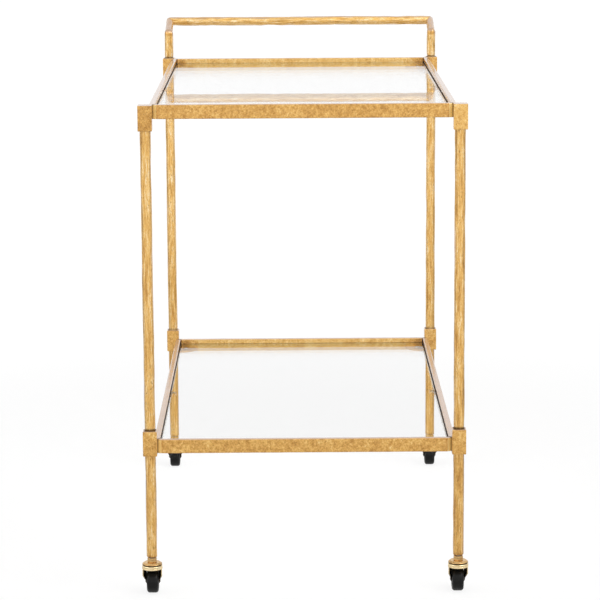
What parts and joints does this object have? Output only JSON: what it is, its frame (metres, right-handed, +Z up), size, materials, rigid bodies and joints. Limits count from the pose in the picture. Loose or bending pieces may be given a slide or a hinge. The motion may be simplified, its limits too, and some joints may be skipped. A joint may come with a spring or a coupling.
{
  "type": "bar cart",
  "caption": "Two-tier bar cart of hammered gold metal bars with glass trays, a push handle at one end and swivel casters.",
  "frame": {"origin": "on the floor, at the centre of the cart's box in plan, handle included", "axes": "+X along the cart's width, to the right of someone at the front end; +Y along its length, towards the end with the handle; +Z up"},
  "size_m": [0.4666, 0.822, 0.7673],
  "materials": {
    "gold_leaf_iron": "hammered bars under antique gold leaf, darker in the hollows and joints",
    "polished_brass": "polished",
    "black_wheel": "satin",
    "clear_glass": "clear, edges ground",
    "clear_pad": "translucent",
    "plain_steel": "plain"
  },
  "bodies": {
    "cart": {"upper_front_rail": "gold_leaf_iron", "upper_rear_rail": "gold_leaf_iron", "upper_left_rail": "gold_leaf_iron", "upper_right_rail": "gold_leaf_iron", "upper_glass_supports": "gold_leaf_iron", "upper_glass": "clear_glass", "upper_front_left_sleeve": "gold_leaf_iron", "upper_front_right_sleeve": "gold_leaf_iron", "upper_rear_left_sleeve": "gold_leaf_iron", "upper_rear_right_sleeve": "gold_leaf_iron", "lower_front_rail": "gold_leaf_iron", "lower_rear_rail": "gold_leaf_iron", "lower_left_rail": "gold_leaf_iron", "lower_right_rail": "gold_leaf_iron", "lower_glass_supports": "gold_leaf_iron", "lower_glass": "clear_glass", "lower_front_left_sleeve": "gold_leaf_iron", "lower_front_right_sleeve": "gold_leaf_iron", "lower_rear_left_sleeve": "gold_leaf_iron", "lower_rear_right_sleeve": "gold_leaf_iron", "front_left_upper_leg": "gold_leaf_iron", "front_left_lower_leg": "gold_leaf_iron", "front_left_caster_stem": "plain_steel", "front_left_caster_cup": "polished_brass", "front_right_upper_leg": "gold_leaf_iron", "front_right_lower_leg": "gold_leaf_iron", "front_right_caster_stem": "plain_steel", "front_right_caster_cup": "polished_brass", "rear_left_upper_leg": "gold_leaf_iron", "rear_left_lower_leg": "gold_leaf_iron", "rear_left_caster_stem": "plain_steel", "rear_left_caster_cup": "polished_brass", "rear_right_upper_leg": "gold_leaf_iron", "rear_right_lower_leg": "gold_leaf_iron", "rear_right_caster_stem": "plain_steel", "rear_right_caster_cup": "polished_brass", "handle_left_post": "gold_leaf_iron", "handle_right_post": "gold_leaf_iron", "handle_bar": "gold_leaf_iron", "glass_pads": "clear_pad", "leg_studs": "plain_steel", "caster_balls": "plain_steel", "caster_lock_nuts": "polished_brass"},
    "front_left_fork": {"front_left_caster_fork": "polished_brass", "front_left_caster_axle": "polished_brass"},
    "front_left_wheel": {"front_left_caster_wheel": "black_wheel"},
    "front_right_fork": {"front_right_caster_fork": "polished_brass", "front_right_caster_axle": "polished_brass"},
    "front_right_wheel": {"front_right_caster_wheel": "black_wheel"},
    "rear_left_fork": {"rear_left_caster_fork": "polished_brass", "rear_left_caster_axle": "polished_brass"},
    "rear_left_wheel": {"rear_left_caster_wheel": "black_wheel"},
    "rear_right_fork": {"rear_right_caster_fork": "polished_brass", "rear_right_caster_axle": "polished_brass"},
    "rear_right_wheel": {"rear_right_caster_wheel": "black_wheel"}
  },
  "joints": [
    {"name": "front_left_swivel", "type": "hinge", "parent": "cart", "child": "front_left_fork", "pos_m": [-0.2185, -0.39625, 0.0427], "axis": [0, 0, 1], "continuous": true},
    {"name": "front_left_wheel_spin", "type": "hinge", "parent": "front_left_fork", "child": "front_left_wheel", "pos_m": [-0.2185, -0.38425, 0.0175], "axis": [1, 0, 0], "continuous": true},
    {"name": "front_right_swivel", "type": "hinge", "parent": "cart", "child": "front_right_fork", "pos_m": [0.2185, -0.39625, 0.0427], "axis": [0, 0, 1], "continuous": true},
    {"name": "front_right_wheel_spin", "type": "hinge", "parent": "front_right_fork", "child": "front_right_wheel", "pos_m": [0.2185, -0.38425, 0.0175], "axis": [1, 0, 0], "continuous": true},
    {"name": "rear_left_swivel", "type": "hinge", "parent": "cart", "child": "rear_left_fork", "pos_m": [-0.2185, 0.35375, 0.0427], "axis": [0, 0, 1], "continuous": true},
    {"name": "rear_left_wheel_spin", "type": "hinge", "parent": "rear_left_fork", "child": "rear_left_wheel", "pos_m": [-0.2185, 0.36575, 0.0175], "axis": [1, 0, 0], "continuous": true},
    {"name": "rear_right_swivel", "type": "hinge", "parent": "cart", "child": "rear_right_fork", "pos_m": [0.2185, 0.35375, 0.0427], "axis": [0, 0, 1], "continuous": true},
    {"name": "rear_right_wheel_spin", "type": "hinge", "parent": "rear_right_fork", "child": "rear_right_wheel", "pos_m": [0.2185, 0.36575, 0.0175], "axis": [1, 0, 0], "continuous": true}
  ]
}
